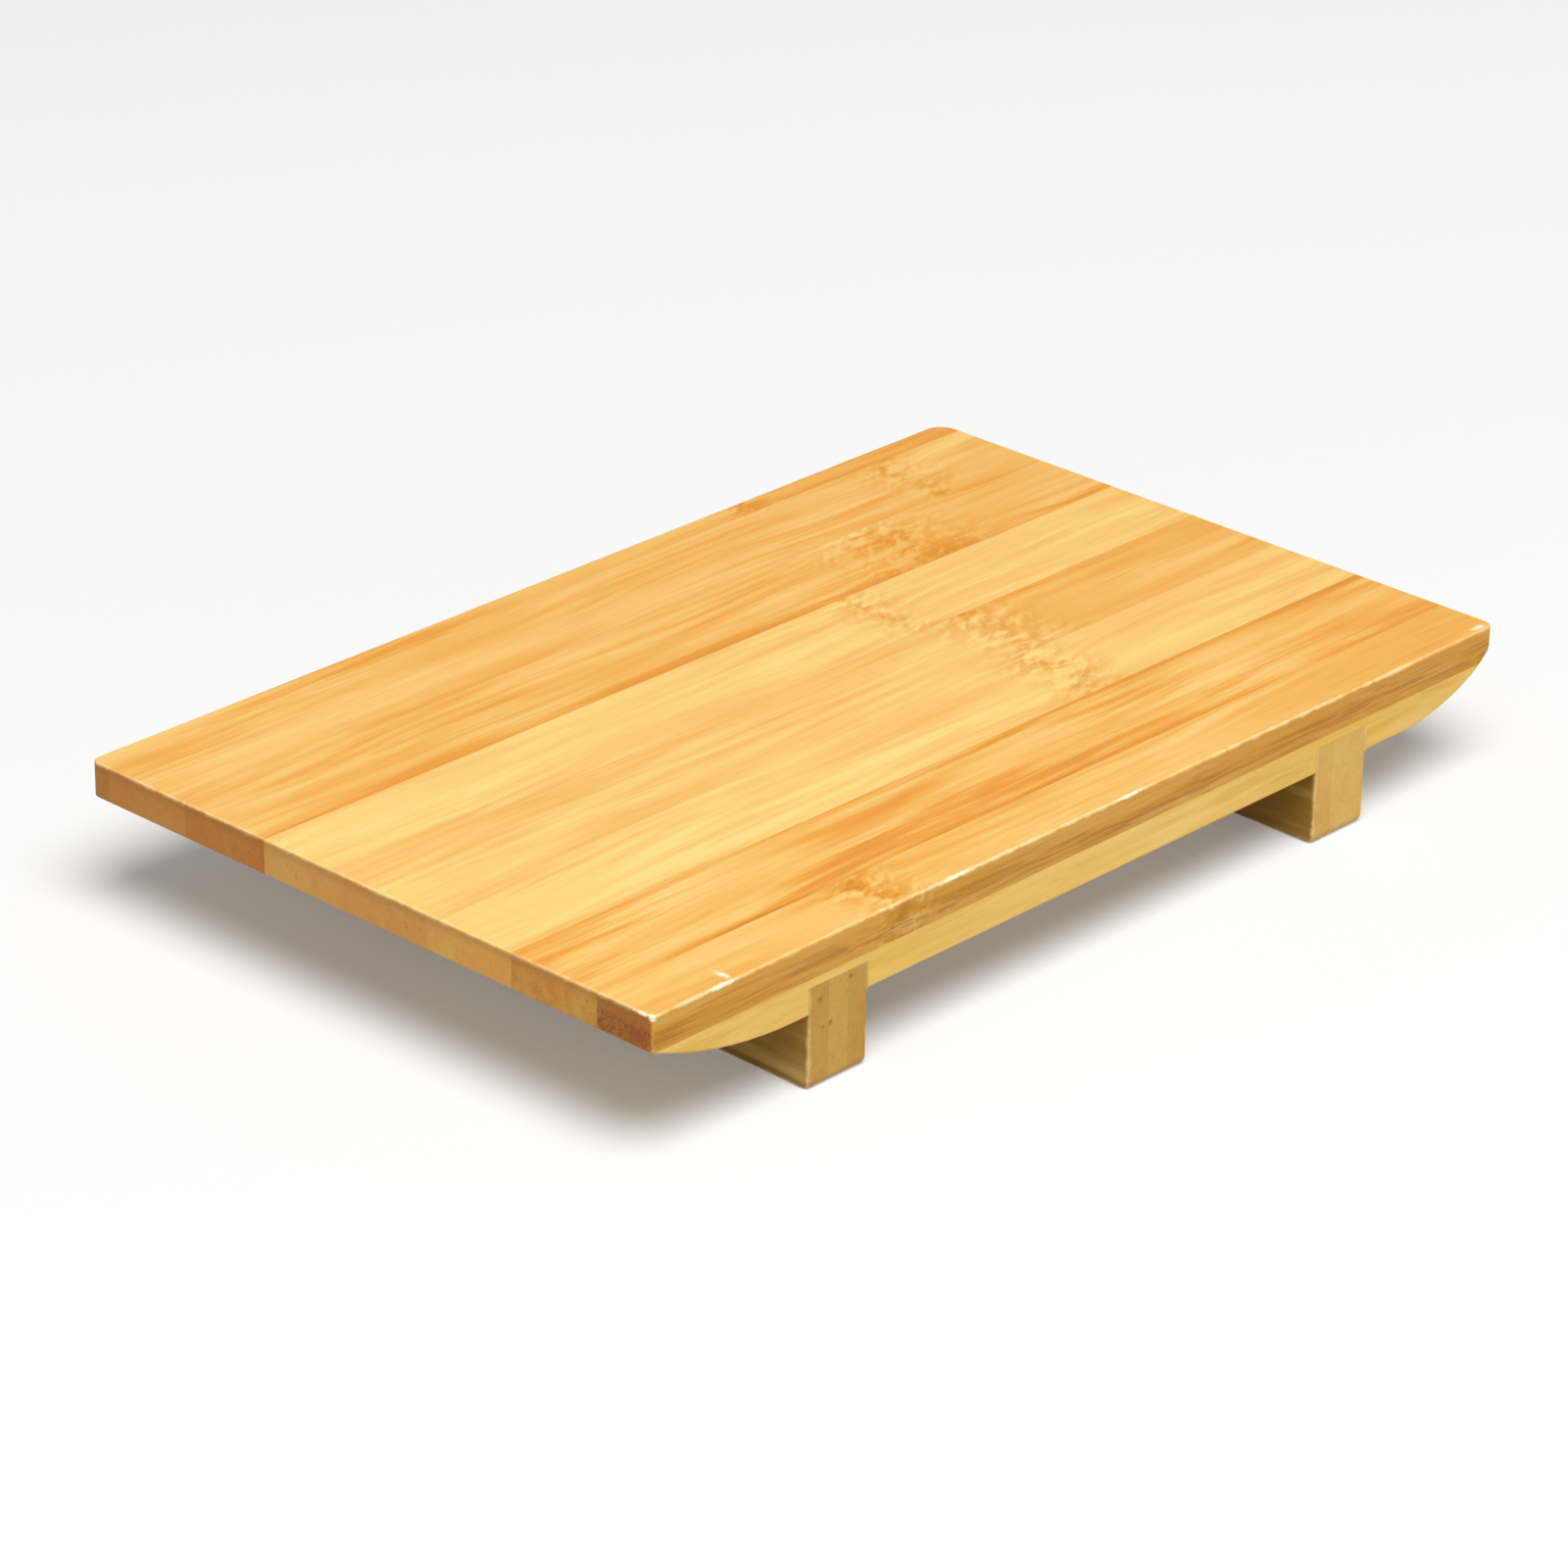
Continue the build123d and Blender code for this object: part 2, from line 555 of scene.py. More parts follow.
class EdgeWearAndHighlight(Effect):
    """Rubbed, paler wood along the arrises of a block: partly wear, and partly a painted highlight where the
    rounded arris catches the light.

    The depth below each pair of the block's faces is Half minus the distance from Centre. At an arris the
    two smaller of the three depths are both small, so their sum, the total less the largest, measures how
    near it is. Fine noise makes the band ragged, and slow noise breaks it into patches.
    """

    NAME = "edge_wear_and_highlight"
    INPUTS = (
        Port("Point", Kind.VECTOR),
        Port("Seed"),
        Port("Centre", Kind.VECTOR),
        Port("Half", Kind.VECTOR),
    )
    OUTPUTS = (Port("Rub And Highlight"),)

    RAGGED: ClassVar[Noise] = Noise((0.35, 0.35, 0.35), 3.0, 0.65)
    RAGGED_REACH: ClassVar[float] = 1.8
    WORN: ClassVar[Ramp] = Ramp(0.75, 0.2)
    PATCHES: ClassVar[Noise] = Noise((0.05, 0.05, 0.05), 3.0, 0.6)
    PATCH_LEVELS: ClassVar[Ramp] = Ramp(0.30, 0.65, 0.3, 1.0)

    @classmethod
    def wire(cls, graph: Graph, given: Mapping[str, Socket]) -> dict[str, Socket]:
        """Build the rubbed band.

        Args:
            graph: The group's own tree.
            given: The group's inputs by name.

        Returns:
            What goes to each of the group's outputs, by name.
        """
        offset = graph.vector("ABSOLUTE", graph.vector("SUBTRACT", given["Point"], given["Centre"]))
        depths = graph.parts(graph.vector("SUBTRACT", given["Half"], offset))
        largest = graph.math("MAXIMUM", graph.math("MAXIMUM", depths[0], depths[1]), depths[2])
        arris = graph.total(*((depth, 1.0) for depth in depths), (largest, -1.0))
        point = graph.reseed(given["Point"], given["Seed"])
        ragged = graph.total((graph.sway(point, cls.RAGGED), cls.RAGGED_REACH), start=arris)
        patches = graph.layer(point, cls.PATCHES, cls.PATCH_LEVELS)
        return {"Rub And Highlight": graph.product(graph.step(ragged, *cls.WORN), patches)}


class RaggedSpot(Effect):
    """A spot with a ragged edge.

    The distance from Place, in parts of Size, is moved by noise. The mask fades out as it nears one.
    """

    NAME = "ragged_spot"
    INPUTS = (Port("Point", Kind.VECTOR), Port("Place", Kind.VECTOR), Port("Size", Kind.VECTOR))
    OUTPUTS = (Port("Mask"),)

    RAGGED: ClassVar[Noise] = Noise((0.8, 1.2, 1.2), 3.0, 0.7)
    RAGGED_REACH: ClassVar[float] = 2.6
    EDGE: ClassVar[Ramp] = Ramp(1.2, 0.3)

    @classmethod
    def wire(cls, graph: Graph, given: Mapping[str, Socket]) -> dict[str, Socket]:
        """Build the spot.

        Args:
            graph: The group's own tree.
            given: The group's inputs by name.

        Returns:
            What goes to each of the group's outputs, by name.
        """
        offset = graph.vector("SUBTRACT", given["Point"], given["Place"])
        distance = graph.length(graph.vector("DIVIDE", offset, given["Size"]))
        ragged = graph.total((graph.sway(given["Point"], cls.RAGGED), cls.RAGGED_REACH), start=distance)
        return {"Mask": graph.step(ragged, *cls.EDGE)}


class BambooSurface(Effect):
    """The whole face of a bamboo piece: tone, grain, knuckle, seams, cut ends and worn arrises, with painted
    shade and a painted highlight.

    Tone is a place from straw (0) through amber (1) to umber (2), moved by the grain's bands and streaks, by
    the seams' shade, along the strip, and at and past the knuckle. Over it lie, in turn, the knuckle's
    flecks, the husk of the stem's wall on the side faces and about its dense layer (on the legs' side faces,
    a darker husk that is painted shade), the fibres, pores and glue lines, the tint of the cut ends with a
    band of painted shade under the upper arris, and the pale wood of rubbed arrises, which is partly wear
    and partly a painted highlight. Point has the fibre along its first axis, in millimetres, and Normal is
    turned alike.
    """

    NAME = "bamboo_surface"
    INPUTS = (
        Port("Point", Kind.VECTOR),
        Port("Normal", Kind.VECTOR),
        Port("Seed"),
        Port("Tone"),
        Port("Drift"),
        Port("Figure"),
        Port("Knuckle X"),
        Port("Knuckle Length"),
        Port("Knuckle Strength"),
        Port("Past Knuckle"),
        Port("Back Edge"),
        Port("Front Edge"),
        Port("Back Shade"),
        Port("Front Shade"),
        Port("Dense Height"),
        Port("Dense Shade"),
        Port("Husk Shade"),
        Port("Husk Color", Kind.COLOUR),
        Port("End Tint", Kind.COLOUR),
        Port("Centre", Kind.VECTOR),
        Port("Half", Kind.VECTOR),
        Port("Wear And Highlight"),
    )
    OUTPUTS = (Port("Color", Kind.COLOUR), Port("Roughness"), Port("Height"))

    STRAW: ClassVar[Colour] = srgb(210, 180, 108)
    AMBER: ClassVar[Colour] = srgb(196, 133, 46)
    UMBER: ClassVar[Colour] = srgb(156, 88, 24)
    FLECK: ClassVar[Colour] = srgb(172, 112, 0)
    FIBRE: ClassVar[Colour] = srgb(126, 76, 12)
    # Pale wood of rubbed arrises; it also paints the highlight that a rounded arris catches
    BARE: ClassVar[Colour] = srgb(214, 190, 140)

    DRIFT_LENGTH: ClassVar[float] = 100.0
    PAST: ClassVar[Ramp] = Ramp(-2.0, 14.0)
    DENSE_WANDER: ClassVar[Noise] = Noise((0.012, 0.0, 0.0), 0.0)
    DENSE_REACH: ClassVar[float] = 5.0
    DENSE_DEPTH: ClassVar[Ramp] = Ramp(4.2, 0.4)
    FACING: ClassVar[Ramp] = Ramp(0.55, 0.9)
    # Painted shade: a darker band on the cut ends, just under the upper arris
    SHADE_UNDER_ARRIS_DEPTH: ClassVar[Ramp] = Ramp(2.6, 0.9)
    SHADE_UNDER_ARRIS_RAGGED: ClassVar[float] = 1.2

    # What the masks add to the tone, and how much of the grain a cut end takes away
    FIGURE: ClassVar[Recipe] = Recipe({"Bands": 0.40, "Streaks": 0.50})
    SEAM_TONE: ClassVar[float] = 0.75
    RIDGE_TONE: ClassVar[float] = 0.30
    MOTTLE_TONE: ClassVar[float] = 0.45
    UNCUT: ClassVar[Recipe] = Recipe({"Cut": -0.5}, start=1.0)

    # How strongly each look lies over the tone
    FLECKS: ClassVar[Recipe] = Recipe({"Ridge": 0.34, "Mottle": 0.28})
    HUSK_PATCHES: ClassVar[Recipe] = Recipe({"Streaks": 0.6, "Mottle": 0.5}, start=1.0)
    DENSE_HUSK: ClassVar[float] = 0.12
    FIBRE_DEPTH: ClassVar[Recipe] = Recipe(
        {"Dense": 0.28, "Husk": 0.10, "Cut": 0.18, "Shade": 0.20},
        start=0.12,
    )
    SCAR: ClassVar[float] = 0.45
    PORE: ClassVar[float] = 0.07
    GLUE: ClassVar[float] = 0.10
    # How dark the painted shade under the upper arris is
    SHADE_UNDER_ARRIS: ClassVar[float] = 0.25
    # How pale the arrises get: partly wear, partly a painted highlight
    RUBBED: ClassVar[float] = 0.7

    ROUGHNESS: ClassVar[Recipe] = Recipe(
        {"Fibres": 0.08, "Ridge": 0.06, "Cut": 0.15, "Rub And Highlight": 0.12},
        start=0.48,
    )
    RELIEF: ClassVar[Recipe] = Recipe(
        {"Fibres": -0.35, "Pores": -0.25, "Ridge": -0.3, "Line": -0.3},
        start=1.0,
    )

    @classmethod
    def masks(cls, graph: Graph, given: Mapping[str, Socket]) -> dict[str, Socket]:
        """Read every effect that the colour, the roughness and the relief draw on.

        Args:
            graph: The group's own tree.
            given: The group's inputs by name.

        Returns:
            The masks by name.
        """
        point, seed = given["Point"], given["Seed"]
        along, _, height = graph.parts(point)
        knuckle = CulmKnuckle.place(graph, {
            "Point": point,
            "Seed": seed,
            "Knuckle X": given["Knuckle X"],
            "Length": given["Knuckle Length"],
            "Strength": given["Knuckle Strength"],
        })
        wander = graph.sway(graph.reseed(point, seed), cls.DENSE_WANDER)
        dense_height = graph.total((wander, cls.DENSE_REACH), start=given["Dense Height"])
        from_dense = graph.math("ABSOLUTE", graph.math("SUBTRACT", height, dense_height))
        dense = graph.product(graph.step(from_dense, *cls.DENSE_DEPTH), given["Dense Shade"])
        swirled = graph.vector("ADD", point, knuckle["Swirl"])
        grain = FibreGrain.place(graph, {"Point": swirled, "Seed": seed, "Density": dense})
        seams = SeamShade.share(graph, given)
        wear_and_highlight = EdgeWearAndHighlight.share(graph, given)
        facing = graph.parts(graph.vector("ABSOLUTE", given["Normal"]))
        cut, side = (graph.step(part, *cls.FACING) for part in facing[:2])
        top = graph.parts(graph.vector("ADD", given["Centre"], given["Half"]))[2]
        depth = graph.math("SUBTRACT", top, height)
        # Painted shade: the cut ends darken just under the upper arris
        shade_under_arris = graph.step(graph.total((grain["Streaks"], cls.SHADE_UNDER_ARRIS_RAGGED), start=depth), *cls.SHADE_UNDER_ARRIS_DEPTH)
        past = graph.step(graph.math("SUBTRACT", along, given["Knuckle X"]), *cls.PAST)
        return {
            **{name: knuckle[name] for name in ("Ridge", "Mottle")},
            **{name: grain[name] for name in ("Bands", "Streaks", "Fibres", "Pores")},
            **{name: seams[name] for name in ("Shade", "Line")},
            "Dense": dense,
            "Husk": graph.product(side, given["Husk Shade"]),
            "Cut": cut,
            "Shade Under Arris": shade_under_arris,
            "Past": past,
            "Rub And Highlight": graph.product(wear_and_highlight["Rub And Highlight"], given["Wear And Highlight"]),
        }

    @classmethod
    def wire(cls, graph: Graph, given: Mapping[str, Socket]) -> dict[str, Socket]:
        """Lay the looks over each other.

        Args:
            graph: The group's own tree.
            given: The group's inputs by name.

        Returns:
            What goes to each of the group's outputs, by name.
        """
        masks = cls.masks(graph, given)
        uncut = graph.mixture(cls.UNCUT, masks)
        along = graph.parts(given["Point"])[0]
        drift = graph.product(graph.math("DIVIDE", along, cls.DRIFT_LENGTH), given["Drift"])
        figure = graph.mixture(cls.FIGURE, masks)
        grown = graph.total((figure, given["Figure"]), (masks["Shade"], cls.SEAM_TONE))
        tone = graph.total(
            (grown, uncut),
            (masks["Past"], given["Past Knuckle"]),
            (masks["Ridge"], cls.RIDGE_TONE),
            (masks["Mottle"], cls.MOTTLE_TONE),
            start=graph.math("ADD", given["Tone"], drift),
        )
        colour = graph.blend(tone, cls.STRAW, cls.AMBER)
        colour = graph.blend(graph.math("SUBTRACT", tone, 1.0), colour, cls.UMBER)
        colour = graph.blend(graph.mixture(cls.FLECKS, masks), colour, cls.FLECK)
        # Husk over the side faces; on the legs it is painted shade, the shade under the board
        patches = graph.mixture(cls.HUSK_PATCHES, masks)
        husk = graph.total((masks["Husk"], patches), (masks["Dense"], cls.DENSE_HUSK))
        colour = graph.blend(husk, colour, given["Husk Color"])
        scar = graph.product(masks["Ridge"], masks["Husk"])
        fibres = graph.total((masks["Fibres"], graph.mixture(cls.FIBRE_DEPTH, masks)), (scar, cls.SCAR))
        pores = graph.product(masks["Pores"], cls.PORE)
        glue = graph.product(masks["Line"], uncut, cls.GLUE)
        for dark in (fibres, pores, glue):
            colour = graph.blend(dark, colour, cls.FIBRE)
        colour = graph.blend(masks["Cut"], colour, given["End Tint"], mode="MULTIPLY")
        # Painted shade on the cut ends, under the upper arris
        colour = graph.blend(graph.product(masks["Shade Under Arris"], masks["Cut"], cls.SHADE_UNDER_ARRIS), colour, cls.FIBRE)
        # Pale arrises: partly wear, partly a painted highlight
        colour = graph.blend(graph.product(masks["Rub And Highlight"], cls.RUBBED), colour, cls.BARE)
        return {
            "Color": colour,
            "Roughness": graph.mixture(cls.ROUGHNESS, masks),
            "Height": graph.mixture(cls.RELIEF, masks),
        }


class Tone(Enum):
    """How far a piece of bamboo has darkened from straw towards amber."""

    IVORY = 0.06
    STRAW = 0.22
    CREAM = 0.29
    HONEY = 0.37
    GOLD = 0.48
    RUSSET = 0.60
    AMBER = 0.71


class Fibre(Enum):
    """The way that a piece's fibres run, as the turn that lays them along the pattern's first axis."""

    LENGTHWISE = 0.0
    CROSSWISE = -math.pi / 2


class Husk(Enum):
    """The stem's wall, where it shows along the side faces of a piece; the darkest stands for painted shade
    on the legs' side faces.
    """

    STRAW = srgb(188, 149, 0)
    GOLDEN = srgb(170, 119, 0)
    # Darker than the wall: painted shade for the legs' side faces under the board
    PAINTED_SHADE = srgb(126, 94, 18)


class EndGrain(Enum):
    """How a cut end shows, as the factors of its palest and of its darkest look."""

    WEATHERED = ((0.86, 0.66, 0.40), (0.57, 0.37, 0.09))
    RUBBED = ((0.81, 0.72, 0.42), (0.58, 0.45, 0.14))
    SANDED = ((0.78, 0.71, 0.49), (0.55, 0.43, 0.19))

    def tint(self, shade: float) -> Colour:
        """Mix the two looks; the shade is the share of the darkest."""
        palest, darkest = np.array(self.value)
        return (*map(float, palest + (darkest - palest) * shade), 1.0)


class Wound(Enum):
    """What a damaged or blemished spot shows."""

    BARE = srgb(212, 200, 168)
    SCORCHED = srgb(138, 70, 0)
    PORE = srgb(136, 98, 30)


@dataclass(frozen=True)
class Spot:
    """One such spot: where it is and how far it reaches along each axis of the pattern, in millimetres."""

    wound: Wound
    place: Triple
    size: Triple


@dataclass(frozen=True)
class Knuckle:
    """Where a strip has a knuckle of the stem, how long and strong it is, and the change of tone past it."""

    place: float = 0.0
    length: float = 10.0
    strength: float = 1.0
    past: float = 0.0


@dataclass(frozen=True)
class Lay:
    """How a piece lies in the board, in millimetres, with the fibre along the first axis."""

    fibre: Fibre
    back_edge: float
    front_edge: float
    bottom: float
    centre: Triple
    half: Triple


def blank_material(name: str) -> tuple[bpy.types.Material, Graph]:
    """Make a material with an empty node tree.

    Args:
        name: Name of the material.

    Returns:
        The material, and its tree.
    """
    made = bpy.data.materials.new(name)
    made.use_nodes = True
    made.node_tree.nodes.clear()
    return made, Graph(made.node_tree)


@dataclass(frozen=True)
class BambooFinish:
    """Satin lacquer over one piece of bamboo."""

    tone: Tone
    seed: float
    knuckle: Knuckle = Knuckle(strength=0.0)
    drift: float = 0.0
    figure: float = 1.0
    back_shade: float = 0.0
    front_shade: float = 0.0
    dense_rise: float = 0.0
    dense_shade: float = 0.0
    husk: Husk = Husk.STRAW
    husk_shade: float = 0.0
    end_grain: EndGrain = EndGrain.WEATHERED
    end_shade: float = 0.1
    wear_and_highlight: float = 0.6
    spots: tuple[Spot, ...] = ()

    SPECULAR: ClassVar[float] = 0.3
    COAT: ClassVar[float] = 0.04
    COAT_ROUGHNESS: ClassVar[float] = 0.35
    RELIEF_STRENGTH: ClassVar[float] = 0.5
    RELIEF: ClassVar[float] = 0.00005

    def material(self, name: str, lay: Lay) -> bpy.types.Material:
        """Build the finish for one piece.

        Args:
            name: Name of the material.
            lay: How the piece lies in the board.

        Returns:
            The material.
        """
        made, graph = blank_material(name)
        texture = graph.node("ShaderNodeTexCoord")
        point = graph.turned(texture.outputs["Object"], lay.fibre.value, PER_METRE)
        surface = BambooSurface.place(graph, {
            "Point": point,
            "Normal": graph.turned(texture.outputs["Normal"], lay.fibre.value),
            "Seed": self.seed,
            "Tone": self.tone.value,
            "Drift": self.drift,
            "Figure": self.figure,
            "Knuckle X": self.knuckle.place,
            "Knuckle Length": self.knuckle.length,
            "Knuckle Strength": self.knuckle.strength,
            "Past Knuckle": self.knuckle.past,
            "Back Edge": lay.back_edge,
            "Front Edge": lay.front_edge,
            "Back Shade": self.back_shade,
            "Front Shade": self.front_shade,
            "Dense Height": lay.bottom + self.dense_rise,
            "Dense Shade": self.dense_shade,
            "Husk Shade": self.husk_shade,
            "Husk Color": self.husk.value,
            "End Tint": self.end_grain.tint(self.end_shade),
            "Centre": lay.centre,
            "Half": lay.half,
            "Wear And Highlight": self.wear_and_highlight,
        })
        colour = surface["Color"]
        for spot in self.spots:
            mask = RaggedSpot.place(graph, {"Point": point, "Place": spot.place, "Size": spot.size})["Mask"]
            colour = graph.blend(mask, colour, spot.wound.value)
        bump = graph.feed(graph.node("ShaderNodeBump"), {
            "Strength": self.RELIEF_STRENGTH,
            "Distance": self.RELIEF,
            "Height": surface["Height"],
        })
        shader = graph.feed(graph.node("ShaderNodeBsdfPrincipled"), {
            "Base Color": colour,
            "Roughness": surface["Roughness"],
            "Normal": bump.outputs["Normal"],
            "Specular IOR Level": self.SPECULAR,
            "Coat Weight": self.COAT,
            "Coat Roughness": self.COAT_ROUGHNESS,
        })
        graph.feed(graph.node("ShaderNodeOutputMaterial"), {"Surface": shader.outputs["BSDF"]})
        return made


def dress(node: str, material: bpy.types.Material) -> None:
    """Give a piece of the frame its material, and report it.

    Args:
        node: Name of the piece.
        material: The material.
    """
    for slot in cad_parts[node].material_slots:
        slot.material = material
    LOG.info("dressed %s with %s", node, material.name)


def millimetres(box: tuple[Vector, Vector]) -> tuple[np.ndarray, np.ndarray]:
    """Give a box's two corners in millimetres."""
    return tuple(np.array(corner) * PER_METRE for corner in box)


@dataclass(frozen=True)
class Ply:
    """One ply of the board: its strips, from the back edge to the front one, run lengthwise."""

    name: str
    finishes: tuple[BambooFinish, ...]

    PAST_OUTSIDE: ClassVar[float] = 20.0

    def dress(self) -> None:
        """Give every strip its finish, with seams only where it meets a neighbour."""
        low, high = millimetres(CAD_BOX)
        for number, finish in enumerate(self.finishes, start=1):
            node = f"{self.name}_strip_{number}"
            lowest, highest = millimetres(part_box(node))
            lay = Lay(
                fibre=Fibre.LENGTHWISE,
                back_edge=float(highest[1]) + self.PAST_OUTSIDE * (number == 1),
                front_edge=float(lowest[1]) - self.PAST_OUTSIDE * (number == len(self.finishes)),
                bottom=float(lowest[2]),
                centre=tuple(((low + high) / 2).tolist()),
                half=tuple(((high - low) / 2).tolist()),
            )
            dress(node, finish.material(f"bamboo_{node}", lay))


@dataclass(frozen=True)
class Leg:
    """One leg: three upright laminations, whose fibres run across the board."""

    side: str
    finishes: Mapping[str, BambooFinish]

    def dress(self) -> None:
        """Give every lamination its finish, turned so that the pattern's first axis runs across."""
        nodes = {layer: f"{self.side}_leg_{layer}_lamination" for layer in self.finishes}
        boxes = {layer: millimetres(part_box(node)) for layer, node in nodes.items()}
        low = np.min([box[0] for box in boxes.values()], axis=0)
        high = np.max([box[1] for box in boxes.values()], axis=0)
        top = millimetres(CAD_BOX)[1][2]
        for layer, finish in self.finishes.items():
            lowest, highest = boxes[layer]
            lay = Lay(
                fibre=Fibre.CROSSWISE,
                back_edge=float(-lowest[0]),
                front_edge=float(-highest[0]),
                bottom=float(lowest[2]),
                centre=(0.0, float(-(low[0] + high[0]) / 2), float(top / 2)),
                half=(float(high[1]), float((high[0] - low[0]) / 2), float(top / 2)),
            )
            dress(nodes[layer], finish.material(f"bamboo_{nodes[layer]}", lay))


@dataclass(frozen=True)
class Studio:
    """The pale floor, the soft lights and the camera, in metres and degrees."""

    floor_reach: float = 2.6
    cove_radius: float = 1.2
    paper_colour: Colour = srgb(186, 186, 186)
    glow: float = 0.17
    sky: float = 0.25
    key_place: Triple = (-0.7, -1.4, 3.2)
    key_size: float = 2.7
    key_power: float = 218.0
    camera_place: Triple = (-0.8150, -0.7588, 0.5385)
    camera_heading: float = 46.787
    camera_pitch: float = 25.405
    camera_roll: float = 0.759
    camera_lens: float = 144.30

    RINGS: ClassVar[int] = 48
    SPOKES: ClassVar[int] = 96
    LEVEL: ClassVar[float] = 90.0
    MATRIX_SIZE: ClassVar[int] = 4

    def floor(self) -> bpy.types.Object:
        """Lay a round floor that curves up into a cove.

        The profile runs out along the floor, then up a quarter circle of the cove's radius. The surface is
        that profile turned about the upright axis: (r cos a, r sin a, z).

        Returns:
            Nothing, as mark_backdrop gives no value back.
        """
        flat = np.linspace(0.0, self.floor_reach, self.RINGS // 2)[1:]
        turn = np.linspace(0.0, math.pi / 2, self.RINGS // 2)[1:]
        radius = np.concatenate([flat, self.floor_reach + self.cove_radius * np.sin(turn)])
        height = np.concatenate([0.0 * flat, self.cove_radius * (1.0 - np.cos(turn))])
        angle = np.linspace(0.0, 2.0 * math.pi, self.SPOKES, endpoint=False)
        rings = np.stack([
            np.outer(radius, np.cos(angle)),
            np.outer(radius, np.sin(angle)),
            np.repeat(height[:, None], self.SPOKES, axis=1),
        ], axis=-1)
        points = np.concatenate([np.zeros((1, 3)), rings.reshape(-1, 3)])
        ring, spoke = np.meshgrid(np.arange(len(radius) - 1), np.arange(self.SPOKES), indexing="ij")
        ahead = (spoke + 1) % self.SPOKES
        corners = [(ring, spoke), (ring + 1, spoke), (ring + 1, ahead), (ring, ahead)]
        quads = np.stack([1 + r * self.SPOKES + s for r, s in corners], axis=-1).reshape(-1, 4)
        around = np.arange(self.SPOKES)
        fan = np.stack([0 * around, 1 + around, 1 + (around + 1) % self.SPOKES], axis=-1)
        mesh = bpy.data.meshes.new("floor")
        mesh.from_pydata(points.tolist(), [], fan.tolist() + quads.tolist())
        mesh.shade_smooth()
        made = bpy.data.objects.new("floor", mesh)
        bpy.context.scene.collection.objects.link(made)
        mesh.materials.append(self.paper())
        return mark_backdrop(made)

    def paper(self) -> bpy.types.Material:
        """Build the floor's matt white, with the glow of a light table, and clear from below.

        Returns:
            The material.
        """
        made, graph = blank_material("floor_paper")
        matt = graph.feed(graph.node("ShaderNodeBsdfPrincipled"), {
            "Base Color": self.paper_colour,
            "Roughness": 1.0,
            "Specular IOR Level": 0.0,
            "Emission Color": WHITE,
            "Emission Strength": self.glow,
        })
        mix = graph.feed(graph.node("ShaderNodeMixShader"), {
            0: graph.node("ShaderNodeNewGeometry").outputs["Backfacing"],
            1: matt.outputs["BSDF"],
            2: graph.node("ShaderNodeBsdfTransparent").outputs["BSDF"],
        })
        graph.feed(graph.node("ShaderNodeOutputMaterial"), {"Surface": mix.outputs["Shader"]})
        return made

    def light(self) -> None:
        """Fill the room with even light and hang one large soft lamp overhead, to the front and the left."""
        world = bpy.data.worlds.new("soft_room")
        world.use_nodes = True
        room = Graph(world.node_tree)
        room.feed(world.node_tree.nodes["Background"], {"Color": WHITE, "Strength": self.sky})
        bpy.context.scene.world = world
        lamp = bpy.data.lights.new("key_softbox", "AREA")
        lamp.shape = "DISK"
        lamp.size = self.key_size
        lamp.energy = self.key_power
        made = bpy.data.objects.new("key_softbox", lamp)
        made.location = self.key_place
        made.rotation_euler = (-Vector(self.key_place)).to_track_quat("-Z", "Y").to_euler()
        bpy.context.scene.collection.objects.link(made)

    def turn(self, degrees: float, axis: str) -> Matrix:
        """Make a turn about one axis."""
        return Matrix.Rotation(math.radians(degrees), self.MATRIX_SIZE, axis)

    def camera(self) -> None:
        """Set the camera at the photograph's angle: turned to its heading, tipped down, then rolled."""
        lens = bpy.data.cameras.new("camera")
        lens.lens = self.camera_lens
        made = bpy.data.objects.new("camera", lens)
        made.matrix_world = (
            Matrix.Translation(self.camera_place)
            @ self.turn(-self.camera_heading, "Z")
            @ self.turn(self.LEVEL - self.camera_pitch, "X")
            @ self.turn(self.camera_roll, "Z")
        )
        bpy.context.scene.collection.objects.link(made)
        bpy.context.scene.camera = made
        bpy.context.scene.view_settings.view_transform = "Standard"


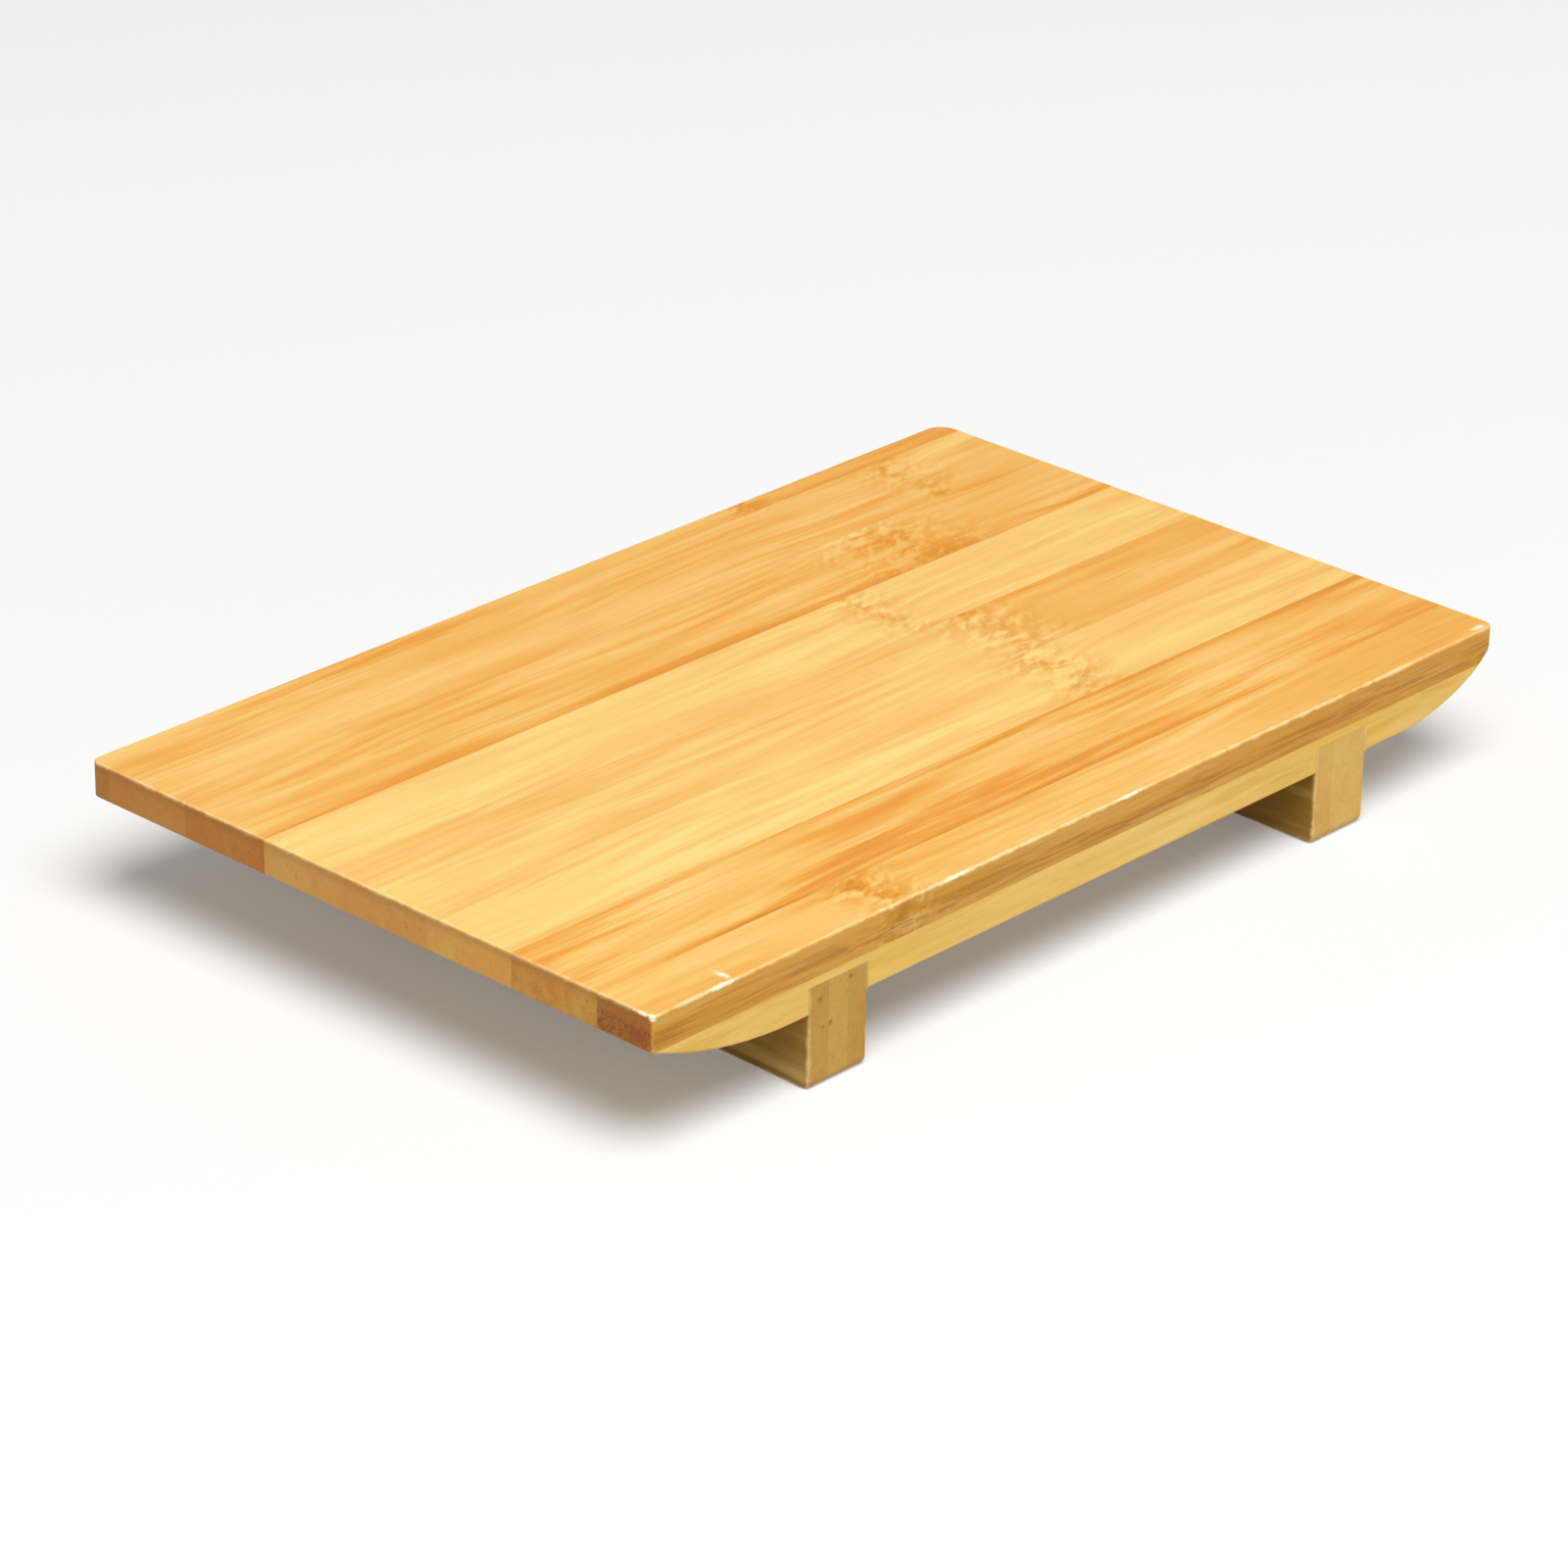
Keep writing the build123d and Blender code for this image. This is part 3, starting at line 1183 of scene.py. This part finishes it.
UPPER_PLY = Ply(
    name="upper",
    finishes=(
        BambooFinish(
            Tone.AMBER, 1.0, Knuckle(57.0, 5.0), drift=0.28, figure=1.2, front_shade=0.15,
            husk=Husk.GOLDEN, husk_shade=0.4, end_shade=0.9,
        ),
        BambooFinish(
            Tone.RUSSET, 2.0, Knuckle(93.0, 6.0, 0.75, past=-0.12), drift=0.09, figure=0.9,
            front_shade=0.1, end_shade=0.6,
        ),
        BambooFinish(Tone.RUSSET, 153.0, Knuckle(64.0, 13.0, 0.8), front_shade=0.6, end_shade=0.75),
        BambooFinish(
            Tone.CREAM, 4.0, Knuckle(36.5, 5.0, 0.8), drift=0.06, figure=0.8, front_shade=0.1,
            end_shade=0.12,
        ),
        BambooFinish(
            Tone.HONEY, 95.0, Knuckle(47.0, 9.0, 0.85, past=0.38), figure=0.8, back_shade=0.1,
            end_shade=0.2,
        ),
        BambooFinish(Tone.CREAM, 126.0, Knuckle(41.0, 7.0, 0.9), drift=0.04, figure=0.9, end_shade=0.0),
        BambooFinish(
            Tone.AMBER, 187.0, drift=0.03, figure=1.4, back_shade=0.6, front_shade=0.5,
            end_grain=EndGrain.RUBBED, end_shade=0.15,
        ),
        BambooFinish(
            Tone.RUSSET, 68.0, Knuckle(-56.0, 6.0, 1.2), drift=0.04, figure=0.8, dense_rise=2.4,
            dense_shade=1.0, husk=Husk.GOLDEN, husk_shade=0.73, end_shade=1.1, wear_and_highlight=0.9,
            spots=(
                Spot(Wound.BARE, (-119.7, -74.7, 29.8), (0.9, 0.9, 0.9)),
                Spot(Wound.BARE, (-119.8, -72.4, 29.9), (0.5, 2.2, 0.5)),
                Spot(Wound.BARE, (-102.5, -74.8, 29.9), (4.0, 0.6, 0.6)),
                Spot(Wound.BARE, (-99.5, -72.2, 30.0), (0.8, 2.0, 0.6)),
                Spot(Wound.BARE, (-41.0, -74.8, 29.9), (4.0, 0.6, 0.6)),
                Spot(Wound.BARE, (8.0, -74.9, 29.9), (4.5, 0.5, 0.5)),
                Spot(Wound.BARE, (116.0, -73.6, 29.9), (2.4, 0.7, 0.6)),
                Spot(Wound.SCORCHED, (-120.0, -71.4, 25.0), (2.0, 3.4, 2.3)),
            ),
        ),
    ),
)
LOWER_PLY = Ply(
    name="lower",
    finishes=(
        BambooFinish(Tone.HONEY, 11.0, Knuckle(-30.0, 8.0), husk_shade=0.3),
        BambooFinish(Tone.CREAM, 12.0, Knuckle(70.0, 8.0)),
        BambooFinish(Tone.GOLD, 13.0, Knuckle(12.0, 9.0), front_shade=0.4),
        BambooFinish(Tone.CREAM, 14.0, Knuckle(-62.0, 8.0)),
        BambooFinish(Tone.HONEY, 15.0, back_shade=0.3),
        BambooFinish(Tone.CREAM, 16.0, Knuckle(38.0, 10.0)),
        BambooFinish(Tone.CREAM, 17.0, figure=0.8, husk_shade=0.42, wear_and_highlight=0.2),
    ),
)
# The legs' side faces take a dark husk as painted shade, where the board shades them
LEG_FINISH = BambooFinish(
    Tone.STRAW, 21.0, figure=1.4, husk=Husk.PAINTED_SHADE, husk_shade=0.9, end_grain=EndGrain.SANDED,
)
LEGS = (
    Leg("left", {
        "outer": replace(
            LEG_FINISH, end_shade=0.75,
            spots=(
                Spot(Wound.PORE, (-75.0, 76.9, 17.7), (2.0, 0.6, 0.8)),
                Spot(Wound.PORE, (-75.0, 76.2, 11.8), (2.0, 0.5, 0.7)),
            ),
        ),
        "core": replace(
            LEG_FINISH, tone=Tone.IVORY, seed=22.0, figure=1.2, end_shade=0.65,
            spots=(Spot(Wound.PORE, (-75.0, 74.0, 12.1), (2.0, 0.6, 0.7)),),
        ),
        "inner": replace(
            LEG_FINISH, seed=23.0, end_shade=0.8,
            spots=(Spot(Wound.PORE, (-75.0, 68.9, 19.6), (2.0, 0.9, 0.6)),),
        ),
    }),
    Leg("right", {
        # The right leg's inner side face takes the fullest painted shade
        "inner": replace(LEG_FINISH, seed=24.0, husk_shade=1.0, end_shade=0.1),
        "core": replace(LEG_FINISH, tone=Tone.IVORY, seed=25.0, figure=1.0, end_shade=0.0),
        "outer": replace(LEG_FINISH, tone=Tone.IVORY, seed=26.0, figure=1.2, end_shade=0.05),
    }),
)


def main() -> None:
    """Dress the board, then set up the floor, the light and the camera."""
    logging.basicConfig(level=logging.INFO, format="%(name)s: %(message)s")
    for part in (UPPER_PLY, LOWER_PLY, *LEGS):
        part.dress()
    studio = Studio()
    studio.floor()
    studio.light()
    studio.camera()


if __name__ == "__main__":
    main()
